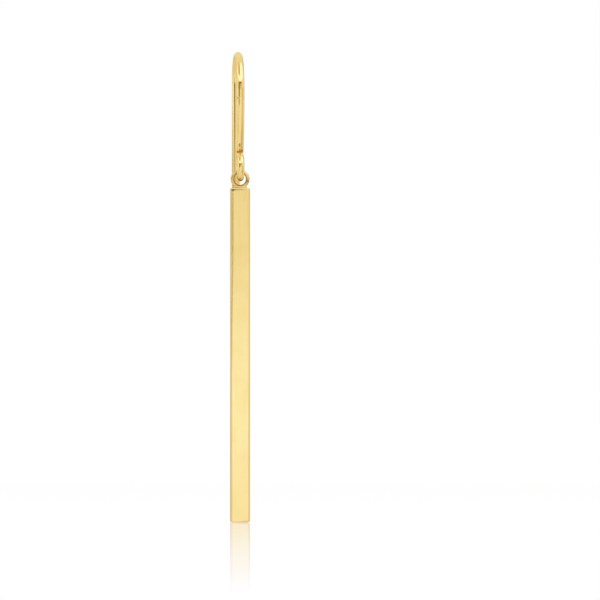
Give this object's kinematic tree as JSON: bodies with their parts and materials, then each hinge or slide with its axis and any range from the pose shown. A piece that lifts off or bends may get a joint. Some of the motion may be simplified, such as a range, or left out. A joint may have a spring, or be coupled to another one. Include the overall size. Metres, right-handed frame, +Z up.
{
  "type": "bar drop earring",
  "caption": "Polished gold drop earring: a long plain square bar with a soldered ring hangs in the eye of a hook-shaped ear wire, and swings forwards and backwards.",
  "frame": {"origin": "underside of the top of the arch, where the wire sits in the pierced ear", "axes": "+Z up, -Y towards the viewer in front, +X to the viewer's right; the hook lies in the YZ plane with its tail on the +Y side, behind the ear"},
  "size_m": [0.002, 0.0084, 0.0471],
  "materials": {
    "gold": "polished"
  },
  "bodies": {
    "hook": {"ear_hook": "gold"},
    "drop": {"bar_drop": "gold"}
  },
  "joints": [
    {"name": "drop_swing", "type": "hinge", "parent": "hook", "child": "drop", "pos_m": [0, -0.00301, -0.01119], "axis": [1, 0, 0], "range_deg": [-80, 40]}
  ]
}
